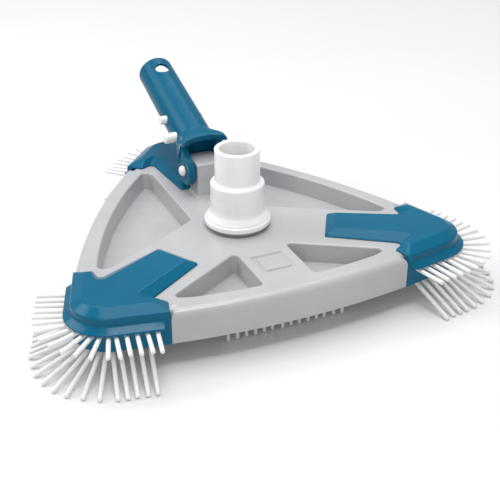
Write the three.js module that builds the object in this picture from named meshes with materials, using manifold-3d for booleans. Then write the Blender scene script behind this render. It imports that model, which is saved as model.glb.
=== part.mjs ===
// Manual vacuum head for a pool: a triangular weighted head with three bristled corners,
// a swivelling hose spigot and a tilting pole handle with a two-button snap clip.
// Millimetres, +Z up. The head stands on its lower bristles at z = 0.

import * as THREE from 'three';
import { mergeVertices } from 'three/addons/utils/BufferGeometryUtils.js';
import Module from 'manifold-3d';

const wasm = await Module();
wasm.setup();

// ---------------------------------------------------------------- driving dimensions

const gap = 0.3;              // clearance between separate pieces
const plateTop = 39.7;        // height of the flat top above the floor
const frameShiftY = -31.807;  // puts the middle of the whole object on the frame origin

const sideApothem = 104.2;    // triangle centre to the middle of each bowed side
const sideRadius = 525;       // radius of the bowed sides
const sideHalfLength = 85.5;  // arc length of bare side, each way from its middle
const wallBottom = -22.7;     // lower edge of the side wall, below the flat top
const shellWall = 3;
const edgeRadius = 5.5;       // rounding of the top edge

const cornerCentreY = 134.1;  // centre of the rounded corner, from the triangle centre
const cornerRadius = 24;      // outer radius of the corner cap's wall
const cornerAngle = 41.2;     // direction of the straight cap wall's normal, in degrees
const wingEnd = -36;          // end of the cap wall, along its straight part
const capTop = 5;             // height of the cap's top face above the flat top
const skirtThickness = 4;

const pocketDepth = 14.5;
const pocketDraft = 1.2;
const spokeHalfWidth = 27.75; // from a spoke's middle line to the pocket beside it

const spigotY = -3.75;
const spigotBore = 12.5;
const spigotTop = 58.9;

const pivotY = 59;            // handle pivot, above the flat top
const pivotZ = 19;
const leanAngle = 18.07;      // lean of the lowered handle above level
const tubeBase = [109.5, 42.9]; // a point (y, z) on the tube's axis
const tubeRadiusLow = 14.9;
const tubeRadiusHigh = 14.2;
const tubeBoreRadius = 12;
const tubeEnd = 59;           // open end, along the axis from tubeBase
const visorFront = -54;       // foremost reach of the hood's visor, along the same axis
const visorHollowRadius = 37.5; // the visor's front edge is hollowed by this radius
const hoodHalfWidth = 18;
const earInner = 11.5;
const earOuter = 16.5;

// ---------------------------------------------------------------- materials

const plastic = (color, roughness) => new THREE.MeshStandardMaterial({ color, roughness, metalness: 0 });
const materials = {
  grey: plastic(0xd3d4d6, 0.35),
  blue: plastic(0x1f7699, 0.38),
  white: plastic(0xf4f3f0, 0.32),
  bristle: plastic(0xf7f7f5, 0.45),
  seal: plastic(0x2b2d30, 0.7),
  iron: new THREE.MeshStandardMaterial({ color: 0x55585c, roughness: 0.6, metalness: 0.8 }),
  steel: new THREE.MeshStandardMaterial({ color: 0xb9bdc1, roughness: 0.3, metalness: 1 }),
};

// ---------------------------------------------------------------- solids from closed geometry

const radians = (degrees) => degrees * Math.PI / 180;

// Merges equal corners and drops triangles that have shrunk to a line.
function toSolid(geometry) {
  const bare = geometry.clone();
  for (const name of Object.keys(bare.attributes)) {
    if (name !== 'position') bare.deleteAttribute(name);
  }
  const merged = mergeVertices(bare, 1e-4);
  const triangles = [];
  const index = merged.index.array;
  for (let i = 0; i < index.length; i += 3) {
    const [a, b, c] = [index[i], index[i + 1], index[i + 2]];
    if (a !== b && b !== c && c !== a) triangles.push(a, b, c);
  }
  return new wasm.Manifold(new wasm.Mesh({
    numProp: 3,
    vertProperties: new Float32Array(merged.attributes.position.array),
    triVerts: new Uint32Array(triangles),
  }));
}

function toGeometry(solid) {
  const mesh = solid.getMesh();
  const geometry = new THREE.BufferGeometry();
  geometry.setAttribute('position', new THREE.BufferAttribute(new Float32Array(mesh.vertProperties), 3));
  geometry.setIndex(new THREE.BufferAttribute(new Uint32Array(mesh.triVerts), 1));
  geometry.computeVertexNormals();
  return geometry;
}

const join = (solids) => solids.reduce((sum, solid) => sum.add(solid));
const cut = (solid, tools) => tools.reduce((rest, tool) => rest.subtract(tool), solid);

// Skins a stack of rings that all have the same number of points, counter-clockwise from above.
function loftGeometry(rings) {
  const count = rings[0].length;
  const positions = rings.flatMap((ring) => ring.flatMap((p) => [p.x, p.y, p.z]));
  const index = [];
  for (let level = 0; level < rings.length - 1; level += 1) {
    for (let i = 0; i < count; i += 1) {
      const a = level * count + i;
      const b = level * count + (i + 1) % count;
      index.push(a, b, b + count, a, b + count, a + count);
    }
  }
  const flat = (ring) => ring.map((p) => new THREE.Vector2(p.x, p.y));
  const top = (rings.length - 1) * count;
  for (const [a, b, c] of THREE.ShapeUtils.triangulateShape(flat(rings[0]), [])) index.push(a, c, b);
  for (const [a, b, c] of THREE.ShapeUtils.triangulateShape(flat(rings[rings.length - 1]), [])) {
    index.push(top + a, top + b, top + c);
  }
  const geometry = new THREE.BufferGeometry();
  geometry.setAttribute('position', new THREE.Float32BufferAttribute(positions, 3));
  geometry.setIndex(index);
  return geometry;
}

const ringAt = (points, z) => points.map(([x, y]) => new THREE.Vector3(x, y, z));
const loft = (levels) => toSolid(loftGeometry(levels.map(([points, z]) => ringAt(points, z))));
const prism = (points, low, high) => loft([[points, low], [points, high]]);

function place(solid, matrix) {
  return solid.transform(matrix.toArray());
}

const turnZ = (degrees) => new THREE.Matrix4().makeRotationZ(radians(degrees));
const shift = (x, y, z) => new THREE.Matrix4().makeTranslation(x, y, z);

// Turned profile about +Z: the profile runs from the bottom to the top as [radius, z].
function turned(profile, segments) {
  return toSolid(new THREE.LatheGeometry(profile.map(([r, z]) => new THREE.Vector2(r, z)), segments)
    .rotateX(Math.PI / 2));
}

const rod = (radius, low, high, segments = 16) => (
  turned([[0, low], [radius, low], [radius, high], [0, high]], segments));
const ringSolid = (inner, outer, low, high, segments = 24) => (
  turned([[inner, low], [outer, low], [outer, high], [inner, high], [inner, low]], segments));

// A box between two corners.
function block([x0, y0, z0], [x1, y1, z1]) {
  return toSolid(new THREE.BoxGeometry(x1 - x0, y1 - y0, z1 - z0)
    .translate((x0 + x1) / 2, (y0 + y1) / 2, (z0 + z1) / 2));
}

// ---------------------------------------------------------------- outlines in plan

// Moves every side of a closed outline outwards by the distance (inwards when negative).
function offset(points, distance) {
  const count = points.length;
  const normal = (a, b) => {
    const length = Math.hypot(b[0] - a[0], b[1] - a[1]);
    return [(b[1] - a[1]) / length, (a[0] - b[0]) / length];
  };
  return points.map((point, i) => {
    const before = normal(points[(i + count - 1) % count], point);
    const after = normal(point, points[(i + 1) % count]);
    const scale = distance / (1 + before[0] * after[0] + before[1] * after[1]);
    return [point[0] + (before[0] + after[0]) * scale, point[1] + (before[1] + after[1]) * scale];
  });
}

// Rounds the corners of a closed outline; each entry is [x, y, radius].
function rounded(corners, steps = 3) {
  const result = [];
  corners.forEach(([x, y, radius], i) => {
    if (!radius) {
      result.push([x, y]);
      return;
    }
    const before = corners[(i + corners.length - 1) % corners.length];
    const after = corners[(i + 1) % corners.length];
    const here = new THREE.Vector2(x, y);
    const back = new THREE.Vector2(before[0], before[1]).sub(here).normalize();
    const ahead = new THREE.Vector2(after[0], after[1]).sub(here).normalize();
    const half = back.angleTo(ahead) / 2;
    const reach = radius / Math.tan(half);
    const start = here.clone().addScaledVector(back, reach);
    const end = here.clone().addScaledVector(ahead, reach);
    const centre = here.clone().addScaledVector(back.clone().add(ahead).normalize(), radius / Math.sin(half));
    const startAngle = Math.atan2(start.y - centre.y, start.x - centre.x);
    let sweep = Math.atan2(end.y - centre.y, end.x - centre.x) - startAngle;
    if (sweep > Math.PI) sweep -= 2 * Math.PI;
    if (sweep < -Math.PI) sweep += 2 * Math.PI;
    for (let step = 0; step <= steps; step += 1) {
      const angle = startAngle + sweep * step / steps;
      result.push([centre.x + radius * Math.cos(angle), centre.y + radius * Math.sin(angle)]);
    }
  });
  return result;
}

const turnPoints = (points, degrees) => points.map(([x, y]) => {
  const [c, s] = [Math.cos(radians(degrees)), Math.sin(radians(degrees))];
  return [x * c - y * s, x * s + y * c];
});

const mirrorPoints = (points) => points.map(([x, y]) => [-x, y]).reverse();

// Splits the long sides of a closed outline into steps no longer than the given length.
function subdivided(points, longest) {
  return points.flatMap(([x, y], i) => {
    const [nextX, nextY] = points[(i + 1) % points.length];
    const steps = Math.max(1, Math.ceil(Math.hypot(nextX - x, nextY - y) / longest));
    return Array.from({ length: steps }, (_, k) => [x + (nextX - x) * k / steps, y + (nextY - y) * k / steps]);
  });
}

// A bowed side facing -Y, from left to right.
function sideArc(steps = 8) {
  const half = sideHalfLength / sideRadius;
  return Array.from({ length: steps + 1 }, (_, i) => {
    const angle = -half + 2 * half * i / steps;
    return [sideRadius * Math.sin(angle), -sideApothem + sideRadius * (1 - Math.cos(angle))];
  });
}

// A point beside a corner that points along +Y: how far along its straight wall, counted from
// the start of the rounding, and how far out from the corner's centre line.
function cornerPoint(along, out) {
  const [c, s] = [Math.cos(radians(cornerAngle)), Math.sin(radians(cornerAngle))];
  return [out * c - along * s, cornerCentreY + out * s + along * c];
}

const fanPoint = (angle, out) => (
  [out * Math.cos(radians(angle)), cornerCentreY + out * Math.sin(radians(angle))]);

// The wall line around a corner at one distance, from the right wing to the left wing.
function cornerLine(out, start, steps = 6) {
  const arc = Array.from({ length: steps + 1 }, (_, i) => (
    fanPoint(cornerAngle + (180 - 2 * cornerAngle) * i / steps, out)));
  const right = cornerPoint(start, out);
  return [right, ...arc, [-right[0], right[1]]];
}

// A strip that follows the corner between two distances.
const cornerStrip = (inner, outer, start, steps) => (
  [...cornerLine(outer, start, steps), ...cornerLine(inner, start, steps).reverse()]);

const sides = [0, 120, 240];
const corners = { left: 120, right: -120, rear: 0 };

// ---------------------------------------------------------------- body shell

const bodyCornerOut = cornerRadius - skirtThickness - gap;

function bodyOutline() {
  const outline = [];
  for (const turn of sides) {
    outline.push(...turnPoints(sideArc(), turn));
    outline.push(...turnPoints(cornerLine(bodyCornerOut, wingEnd - gap), turn - 120));
  }
  return outline;
}

const bodyPlan = bodyOutline();

// Rounded top edge as inset steps of a quarter circle.
const edgeSteps = [0, 30, 60, 90].map((degrees) => ({
  inset: edgeRadius * (1 - Math.cos(radians(degrees))),
  z: -edgeRadius * (1 - Math.sin(radians(degrees))),
}));

const bodyBlock = loft([
  [bodyPlan, wallBottom],
  ...edgeSteps.map(({ inset, z }) => [offset(bodyPlan, -inset), z]),
]);

const spokeVertexY = spokeHalfWidth / Math.cos(radians(30));
const pocketOuterY = (x, inset) => -sideApothem + inset + 400 * (1 - Math.cos(Math.asin(x / 400)));

// One big pocket behind the middle of a side that faces -Y.
function bigPocket() {
  const tipX = 77;
  const outer = [-62, -40, -20, 0, 20, 40, 62].map((x) => [x, pocketOuterY(x, 13), 0]);
  return rounded([
    [0, -spokeVertexY, 5],
    [-tipX, -spokeVertexY - tipX * Math.tan(radians(30)), 7],
    [-tipX + 1, pocketOuterY(tipX, 13), 3],
    ...outer,
    [tipX - 1, pocketOuterY(tipX, 13), 3],
    [tipX, -spokeVertexY - tipX * Math.tan(radians(30)), 7],
  ]);
}

// The right one of the two small pockets of the front side.
function smallPocket() {
  const innerX = 18.5;
  const outerX = 79;
  const slope = (x) => -spokeVertexY - x * Math.tan(radians(30));
  return rounded([
    [innerX, slope(innerX), 3],
    [innerX, pocketOuterY(innerX, 15), 3],
    [34, pocketOuterY(34, 15), 0],
    [50, pocketOuterY(50, 15), 0],
    [64, pocketOuterY(64, 15), 0],
    [outerX, (pocketOuterY(outerX, 15) + slope(outerX)) / 2, 2.5],
  ]);
}

const pocketPlans = [
  turnPoints(bigPocket(), 120),
  turnPoints(bigPocket(), 240),
  smallPocket(),
  mirrorPoints(smallPocket()),
];

const pocketCut = (plan) => loft([
  [offset(plan, -pocketDraft), -pocketDepth],
  [plan, -0.8],
  [offset(plan, 0.8), 0],
  [offset(plan, 0.8), 1],
]);
const pocketWall = (plan) => loft([
  [offset(plan, 2.2 - pocketDraft), -pocketDepth - 2.5],
  [offset(plan, 2.4), 0],
]);

// Screw places, in the frame of a corner that points along +Y.
const [capScrewX, capScrewY] = cornerPoint(-18, 12);
const plateScrewY = 66;
const stripScrewX = 48.5;
const stripY = -85;

const turnedPlace = ([x, y], turn) => turnPoints([[x, y]], turn)[0];
const capScrews = Object.entries(corners).flatMap(([name, turn]) => [
  [`${name}_cap_screw_a`, ...turnedPlace([capScrewX, capScrewY], turn)],
  [`${name}_cap_screw_b`, ...turnedPlace([-capScrewX, capScrewY], turn)],
]);
const sideNames = { front: 0, right: 120, left: 240 };
const stripScrews = Object.entries(sideNames).flatMap(([name, turn]) => [
  [`${name}_strip_screw_a`, ...turnedPlace([-stripScrewX, stripY], turn)],
  [`${name}_strip_screw_b`, ...turnedPlace([stripScrewX, stripY], turn)],
]);
const plateScrews = Object.entries(corners).map(([name, turn]) => (
  [`${name}_plate_screw`, ...turnedPlace([0, plateScrewY], turn)]));

const plateTopZ = -19.9;      // inner face of the underside plate
const bossBottom = plateTopZ + gap;
const standing = (solid, x, y) => place(solid, shift(x, y, 0));

function makeBodyShell() {
  const cavityPlan = offset(bodyPlan, -shellWall);
  const cavity = prism(cavityPlan, wallBottom - 1, -shellWall);
  const bosses = [...capScrews, ...stripScrews, ...plateScrews]
    .map(([, x, y]) => standing(rod(4.2, bossBottom, -1, 8), x, y));
  const collar = standing(rod(22.5, bossBottom, -1, 24), 0, spigotY);
  const kept = [...pocketPlans.map(pocketWall), ...bosses, collar];
  const shell = bodyBlock.subtract(cut(cavity, kept));

  const foot = rounded([[-10.3, 46, 2], [10.3, 46, 2], [10.3, 64.2, 1], [-10.3, 64.2, 1]], 3);
  const head = rounded([[-10.3, 46, 2], [10.3, 46, 2], [10.3, 70, 1.5], [-10.3, 70, 1.5]], 3);
  const pivotBlock = join([
    prism(foot, -1.5, 6),
    loft([[head, capTop + 0.4], [head, 25.8], [offset(head, -1.2), 27]]),
  ]);

  const spigotHole = standing(join([rod(15.6, -10, 3, 24), rod(19.2, -30, -9, 24)]), 0, spigotY);
  const pinHole = place(rod(3.3, -30, 30, 12), shift(0, pivotY, pivotZ).multiply(
    new THREE.Matrix4().makeRotationY(Math.PI / 2)));
  const emblem = cut(block([-12, -75.8, -1], [12, -52.8, 1]), [block([-9, -73, -2], [9, -55.6, 2])]);
  const pilots = [
    ...capScrews.map(([, x, y]) => standing(rod(1.6, -30, 3, 6), x, y)),
    ...stripScrews.map(([, x, y]) => standing(rod(1.6, -30, -15.9, 6), x, y)),
    ...plateScrews.map(([, x, y]) => standing(rod(1.6, -30, -6, 6), x, y)),
  ];
  return cut(join([shell, pivotBlock]), [
    ...pocketPlans.map(pocketCut), spigotHole, pinHole, emblem, ...pilots,
  ]);
}

// ---------------------------------------------------------------- underside

function makeBasePlate() {
  const plan = offset(bodyPlan, -shellWall - gap);
  const screwHoles = [...capScrews, ...stripScrews, ...plateScrews]
    .map(([, x, y]) => standing(rod(1.6, -30, 0, 6), x, y));
  const throat = standing(rod(19.2, -30, 0, 24), 0, spigotY);
  return cut(prism(plan, wallBottom, plateTopZ), [throat, ...screwHoles]);
}

// A straight bristle from its root to its tip, as a six-sided rod cut square at both ends.
function bristle(root, tip, radius) {
  const from = new THREE.Vector3(...root);
  const to = new THREE.Vector3(...tip);
  const length = from.distanceTo(to);
  const turn = new THREE.Quaternion().setFromUnitVectors(
    new THREE.Vector3(0, 1, 0), to.clone().sub(from).normalize());
  const geometry = new THREE.CylinderGeometry(radius, radius, length, 6)
    .applyQuaternion(turn)
    .translate((from.x + to.x) / 2, (from.y + to.y) / 2, (from.z + to.z) / 2);
  return toSolid(geometry);
}

const stripTop = wallBottom - gap;
const stripBottom = stripTop - 3;
const sideBristles = 14;
const sideBristlePitch = 6.5;

function makeSideStrip() {
  const plan = rounded([[-52, stripY - 3, 2], [52, stripY - 3, 2], [52, stripY + 3, 2], [-52, stripY + 3, 2]], 3);
  const bristles = Array.from({ length: sideBristles }, (_, i) => {
    const x = (i - (sideBristles - 1) / 2) * sideBristlePitch;
    return bristle([x, stripY, stripTop - 1], [x, stripY, 0.6 - plateTop], 1.3);
  });
  const holes = [-stripScrewX, stripScrewX].map((x) => standing(rod(1.6, -30, 0, 6), x, stripY));
  return cut(join([prism(plan, stripBottom, stripTop), ...bristles]), holes);
}

// ---------------------------------------------------------------- corner brushes

const upperStraight = [-27.3, -20.9, -14.5, -8.0, -1.6];
const upperFan = [6, 18, 30, 42];
const lowerStraight = [-22.8, -16.5, -10.2, -3.9];
const lowerFan = [0, 11.5, 23, 34.5, 46];
const bristleRadius = 1.5;
const lowerTipZ = -plateTop + 1.405; // the tips' lowest corners touch the floor

// Every bristle of a row, from an inner distance and height to an outer distance and height.
function cornerBristles(straight, fan, inner, outer) {
  const rods = [];
  const add = (start, end) => rods.push(bristle([...start, inner[1]], [...end, outer[1]], bristleRadius));
  for (const along of straight) {
    const [start, end] = [cornerPoint(along, inner[0]), cornerPoint(along, outer[0])];
    add(start, end);
    add([-start[0], start[1]], [-end[0], end[1]]);
  }
  for (const angle of fan) {
    for (const side of angle === 0 ? [1] : [-1, 1]) {
      add(fanPoint(90 + side * angle, inner[0]), fanPoint(90 + side * angle, outer[0]));
    }
  }
  return rods;
}

const grooveBottom = -13.1;
const grooveTop = -8.9;
const grooveOut = 21.6;

function makeUpperBrush() {
  const strip = prism(cornerStrip(grooveOut + gap, cornerRadius - 0.1, -30, 8), grooveBottom + gap, grooveTop - gap);
  return join([strip, ...cornerBristles(upperStraight, upperFan, [22.6, -11.3], [48.5, -10.9])]);
}

function makeLowerBrush() {
  const strip = cut(prism(cornerStrip(9, 18, -26, 6), stripBottom, stripTop), [
    standing(rod(1.6, -30, 0, 6), capScrewX, capScrewY),
    standing(rod(1.6, -30, 0, 6), -capScrewX, capScrewY),
  ]);
  return join([strip, ...cornerBristles(lowerStraight, lowerFan, [16, -24.3], [53.5, lowerTipZ])]);
}

// ---------------------------------------------------------------- corner caps

// Right half of the cap in plan: [x, y] on the flat top, then [x, y] of the top face's edge.
const capHalf = [
  [[16.3, 64.8], [11.2, 71.6]],
  [[17.5, 66.0], [12.0, 72.4]],
  [[19.1, 85.0], [12.3, 92.0]],
  [[21.0, 109.5], [13.2, 114.0]],
  [[21.4, 116.0], [14.3, 120.5]],
  [[22.6, 118.6], [16.2, 123.9]],
  [[25.2, 118.0], [20.1, 125.0]],
  [[31.2, 114.4], [27.2, 120.1]],
  [[32.6, 114.5], [28.4, 120.4]],
  [cornerPoint(wingEnd, cornerRadius), [30.6, 123.4]],
];
const capTopOut = 16.4;
const capArcSteps = 7;

function capRing(index) {
  const half = capHalf.map((pair) => pair[index]);
  const out = index === 0 ? cornerRadius : capTopOut;
  const wall = cornerLine(out, 0, capArcSteps).slice(1, -1);
  return [...half, ...wall, ...mirrorPoints(half)];
}

function makeCap() {
  const base = capRing(0);
  const face = capRing(1);
  const between = base.map(([x, y], i) => [x + (face[i][0] - x) * 0.04, y + (face[i][1] - y) * 0.04]);
  const top = loft([[base, gap], [between, 1.1], [face, capTop]]);
  const skirt = prism(cornerStrip(cornerRadius - skirtThickness, cornerRadius, wingEnd, capArcSteps), wallBottom, 1);
  const ledgeIn = cornerRadius - 1.5;
  const ledge = loft([
    [cornerStrip(ledgeIn, 24.4, -33.6, capArcSteps), -8.9],
    [cornerStrip(ledgeIn, 29, -31.3, capArcSteps), -8.5],
    [cornerStrip(ledgeIn, 29, -31.3, capArcSteps), -7.4],
    [cornerStrip(ledgeIn, cornerRadius + 0.2, -34.1, capArcSteps), -4.2],
  ]);
  const groove = prism(cornerStrip(grooveOut, cornerRadius + 2, -30 - gap, capArcSteps), grooveBottom, grooveTop);
  const lip = prism(cornerStrip(cornerRadius, 33, -40, capArcSteps), grooveBottom, -8.7);
  const pilots = [capScrewX, -capScrewX].map((x) => standing(rod(1.6, -2, 3.4, 6), x, capScrewY));
  return cut(join([top, skirt, ledge]), [groove, lip, ...pilots]);
}

// ---------------------------------------------------------------- spigot

const spigotProfile = [
  [spigotBore, -12.6],
  [15.1, -12.6],
  [15.1, 3.3],
  [22.9, 3.3],
  [23.7, 4.1],
  [23.7, 7.6],
  [22.3, 9.0],
  [20.2, 11.2],
  [19.4, 13.6],
  [19.2, 16.0],
  [19.2, 32.0],
  [18.2, 34.2],
  [16.2, 35.0],
  [16.0, 37.0],
  [16.0, spigotTop - 1.0],
  [15.2, spigotTop],
  [13.2, spigotTop],
  [spigotBore, spigotTop - 1.0],
  [spigotBore, -12.6],
];

// ---------------------------------------------------------------- handle

const lean = radians(leanAngle);

// Point of the handle's side view: distance along the tube's axis, and above it.
const tubePoint = (along, above) => [
  tubeBase[0] + along * Math.cos(lean) - above * Math.sin(lean),
  tubeBase[1] + along * Math.sin(lean) + above * Math.cos(lean),
];

// The handle's own frame: +Z along the tube, +X across, +Y to its underside.
function tubeFrame(along = 0) {
  const [y, z] = tubePoint(along, 0);
  const basis = new THREE.Matrix4().makeBasis(
    new THREE.Vector3(1, 0, 0),
    new THREE.Vector3(0, Math.sin(lean), -Math.cos(lean)),
    new THREE.Vector3(0, Math.cos(lean), Math.sin(lean)));
  return shift(0, y, z).multiply(basis);
}

const alongX = (x, y, z) => shift(x, y, z).multiply(new THREE.Matrix4().makeRotationY(Math.PI / 2));

// A plate across X from a side view outline of [y, z] points.
function sidePlate(outline, x0, x1) {
  const shape = new THREE.Shape(outline.map(([y, z]) => new THREE.Vector2(y, z)));
  const geometry = new THREE.ExtrudeGeometry(shape, { depth: x1 - x0, bevelEnabled: false, curveSegments: 6 });
  const axes = new THREE.Matrix4().makeBasis(
    new THREE.Vector3(0, 1, 0), new THREE.Vector3(0, 0, 1), new THREE.Vector3(1, 0, 0));
  return toSolid(geometry.applyMatrix4(shift(x0, 0, 0).multiply(axes)));
}

const hangingHoleAt = 44.5;
// Buttons stand out on the left and are almost flush on the right.
const smallButton = { along: -5.3, above: 2, radius: 3.35, leftReach: 19, rightReach: 15.3 };
const pressButton = { along: -27, above: 2, radius: 4, leftReach: 23, rightReach: 15.6 };
const buttonTravel = 4.5;

function makeHandle() {
  const tube = place(turned([
    [0, -35],
    [tubeRadiusLow, -35],
    [tubeRadiusHigh, tubeEnd - 1.2],
    [tubeRadiusHigh - 0.9, tubeEnd],
    [0, tubeEnd],
  ], 28), tubeFrame());

  // Hood: a round section that widens to a rounded rectangle, with a visor over the pivot block.
  const front = subdivided(rounded([
    [hoodHalfWidth, 13, 4], [-hoodHalfWidth, 13, 4], [-hoodHalfWidth, -17.2, 4], [hoodHalfWidth, -17.2, 4],
  ], 5), 6);
  const roundAt = (radius) => front.map(([x, y]) => {
    const angle = Math.atan2(y + 2.1, x * 0.84);
    return [radius * Math.cos(angle), radius * Math.sin(angle)];
  });
  const blend = (share) => roundAt(tubeRadiusLow).map(([x, y], i) => (
    [x + (front[i][0] - x) * share, y + (front[i][1] - y) * share]));
  const flare = place(loft([
    [front, visorFront],
    [blend(0.95), -48],
    [blend(0.7), -42],
    [blend(0.3), -36],
    [roundAt(tubeRadiusLow - 0.05), -30],
  ]), tubeFrame());
  const visorHollow = place(rod(visorHollowRadius, -30, 30, 40), tubeFrame(-47.8 - visorHollowRadius).multiply(
    new THREE.Matrix4().makeRotationX(Math.PI / 2)));
  const underVisor = sidePlate([[20, 0], [71.8, 0], [71.8, 17.6], [66, 30], [64, 36.7], [54, 40], [20, 40]], -30, 30);
  const hood = cut(flare, [visorHollow, underVisor]);

  // Ears: a disc around the pivot with a neck up to the hood, and a heel that lands on the cap.
  const disc = Array.from({ length: 11 }, (_, i) => {
    const angle = radians(92 + 178 * i / 10);
    return [pivotY + 11.7 * Math.cos(angle), pivotZ + 11.7 * Math.sin(angle)];
  });
  const earOutline = [...disc, [68.5, 7.4], [72.6, 8.6], [72, 17.2], [76.6, 20.4], [74, 38.4], [64, 36.7]];
  const ears = [[-earOuter, -earInner], [earInner, earOuter]].map(([x0, x1]) => sidePlate(earOutline, x0, x1));
  const heelOutline = [[68.5, capTop + 0.5], [72.4, capTop + 0.5], [72.6, 9.5], [68.5, 9.5]];
  const heels = [[-13.3, -earInner], [earInner, 13.3]].map(([x0, x1]) => sidePlate(heelOutline, x0, x1));

  const bore = place(rod(tubeBoreRadius, -33.5, tubeEnd + 5, 24), tubeFrame());
  const hollow = place(block([-earInner, -12.5, visorFront - 6], [earInner, 12, -37]), tubeFrame());
  const clearance = place(rod(18, -earInner, earInner, 28), alongX(0, pivotY, pivotZ));
  const pinHole = place(rod(3.3, -30, 30, 12), alongX(0, pivotY, pivotZ));
  const hanging = place(rod(5.5, -30, 30, 16), tubeFrame(hangingHoleAt).multiply(
    new THREE.Matrix4().makeRotationX(Math.PI / 2)));
  const buttonHoles = [smallButton, pressButton].map(({ along, above, radius }) => {
    const [y, z] = tubePoint(along, above);
    return place(rod(radius + 0.4, -30, 30, 14), alongX(0, y, z));
  });
  return cut(join([tube, hood, ...ears, ...heels]), [bore, hollow, clearance, pinHole, hanging, ...buttonHoles]);
}

// Pivot pin: domed head on the left, a domed push-on cap on the right.
const domeProfile = (from, to, radius) => [
  [0, from], [radius, from], [radius, from + 1.2], [radius * 0.82, to - 0.7], [radius * 0.45, to], [0, to]];

function makePivotPin() {
  const shaft = place(rod(3, -earOuter - 1, earOuter + 1.2, 12), alongX(0, pivotY, pivotZ));
  const head = place(turned(domeProfile(earOuter + gap, earOuter + 4, 3.9), 12), alongX(0, pivotY, pivotZ)
    .multiply(new THREE.Matrix4().makeRotationX(Math.PI)));
  return join([shaft, head]);
}

function makePinCap() {
  const dome = place(turned(domeProfile(earOuter + gap, earOuter + 4, 3.9), 12), alongX(0, pivotY, pivotZ));
  return cut(dome, [place(rod(3.35, earOuter, earOuter + 1.6, 12), alongX(0, pivotY, pivotZ))]);
}

const clipTop = 12;
const armInner = 7.8;
const armOuter = 9.5;
const armHalfHeight = 3.6;
const armAbove = 1;

// One arm of the clip with its two buttons, on the side given by the sign.
function makeClipArm(side) {
  const x0 = Math.min(side * armInner, side * armOuter);
  const x1 = Math.max(side * armInner, side * armOuter);
  const strip = place(block(
    [x0, -armAbove - armHalfHeight, -31.6], [x1, -armAbove + armHalfHeight, clipTop]), tubeFrame());
  const buttons = [smallButton, pressButton].map(({ along, above, radius, leftReach, rightReach }) => {
    const [y, z] = tubePoint(along, above);
    const reach = side > 0 ? rightReach : leftReach;
    const pill = turned([
      [0, armInner + 0.6], [radius, armInner + 0.6], [radius, reach - 1.2], [radius - 1.2, reach], [0, reach],
    ], 12);
    const turn = side > 0 ? alongX(0, y, z) : alongX(0, y, z).multiply(new THREE.Matrix4().makeRotationX(Math.PI));
    return place(pill, turn);
  });
  return join([strip, ...buttons]);
}

// Fixed bend that closes the clip at its inner end.
function makeClipBend() {
  const arc = (radius, reverse) => Array.from({ length: 11 }, (_, i) => {
    const angle = radians(reverse ? 180 - 18 * i : 18 * i);
    return [radius * Math.cos(angle), clipTop + gap + radius * Math.sin(angle) * 0.8];
  });
  const outline = [...arc(armOuter, false), ...arc(armInner, true)];
  const shape = new THREE.Shape(outline.map(([x, z]) => new THREE.Vector2(x, z)));
  const geometry = new THREE.ExtrudeGeometry(shape, { depth: 2 * armHalfHeight, bevelEnabled: false });
  const axes = new THREE.Matrix4().makeBasis(
    new THREE.Vector3(1, 0, 0), new THREE.Vector3(0, 0, 1), new THREE.Vector3(0, -1, 0));
  geometry.applyMatrix4(shift(0, armHalfHeight - armAbove, 0).multiply(axes));
  return place(toSolid(geometry), tubeFrame());
}

// ---------------------------------------------------------------- screws

// Head below, shaft up through the pieces it holds.
const screw = (headBottom, headTop, shaftTop) => turned([
  [0, headBottom], [2.2, headBottom], [2.6, headBottom + 0.6], [2.6, headTop],
  [1.3, headTop], [1.3, shaftTop], [0, shaftTop + 0.8]], 8);

// ---------------------------------------------------------------- the whole head

const head = new THREE.Group();
head.position.set(0, frameShiftY, plateTop);

function addPiece(name, solid, material, turn = 0, parent = head) {
  const mesh = new THREE.Mesh(toGeometry(solid), materials[material]);
  mesh.name = name;
  mesh.rotation.z = radians(turn);
  parent.add(mesh);
}

addPiece('body_shell', makeBodyShell(), 'grey');
addPiece('base_plate', makeBasePlate(), 'grey');

const [cap, upperBrush, lowerBrush] = [makeCap(), makeUpperBrush(), makeLowerBrush()];
const ballast = loft([
  [rounded([[-17, 78, 3], [17, 78, 3], [17, 116, 3], [-17, 116, 3]], 2), plateTopZ + gap],
  [rounded([[-17, 78, 3], [17, 78, 3], [17, 116, 3], [-17, 116, 3]], 2), -6],
]);
for (const [name, turn] of Object.entries(corners)) {
  addPiece(`${name}_corner_cap`, cap, 'blue', turn);
  addPiece(`${name}_upper_brush`, upperBrush, 'bristle', turn);
  addPiece(`${name}_lower_brush`, lowerBrush, 'bristle', turn);
  addPiece(`${name}_ballast`, ballast, 'iron', turn);
}

const sideStrip = makeSideStrip();
for (const [name, turn] of Object.entries(sideNames)) {
  addPiece(`${name}_side_brush`, sideStrip, 'bristle', turn);
}

for (const [name, x, y] of capScrews) {
  addPiece(name, standing(screw(stripBottom - 2.2, stripBottom - gap, 2.2), x, y), 'steel');
}
for (const [name, x, y] of stripScrews) {
  addPiece(name, standing(screw(stripBottom - 2.2, stripBottom - gap, -17.2), x, y), 'steel');
}
for (const [name, x, y] of plateScrews) {
  addPiece(name, standing(screw(wallBottom - 2.2, wallBottom - gap, -8), x, y), 'steel');
}

addPiece('spigot', standing(turned(spigotProfile, 32), 0, spigotY), 'white');
addPiece('spigot_retainer', standing(ringSolid(15.1 + gap, 18.7, -12.4, -9 - gap), 0, spigotY), 'white');
addPiece('spigot_seal', standing(ringSolid(16.8, 21.6, gap, 3), 0, spigotY), 'seal');

addPiece('handle', makeHandle(), 'blue');
addPiece('pivot_pin', makePivotPin(), 'white');
addPiece('pivot_pin_cap', makePinCap(), 'white');
addPiece('clip_bend', makeClipBend(), 'white');
addPiece('clip_arm_left', makeClipArm(-1), 'white');
addPiece('clip_arm_right', makeClipArm(1), 'white');

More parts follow.
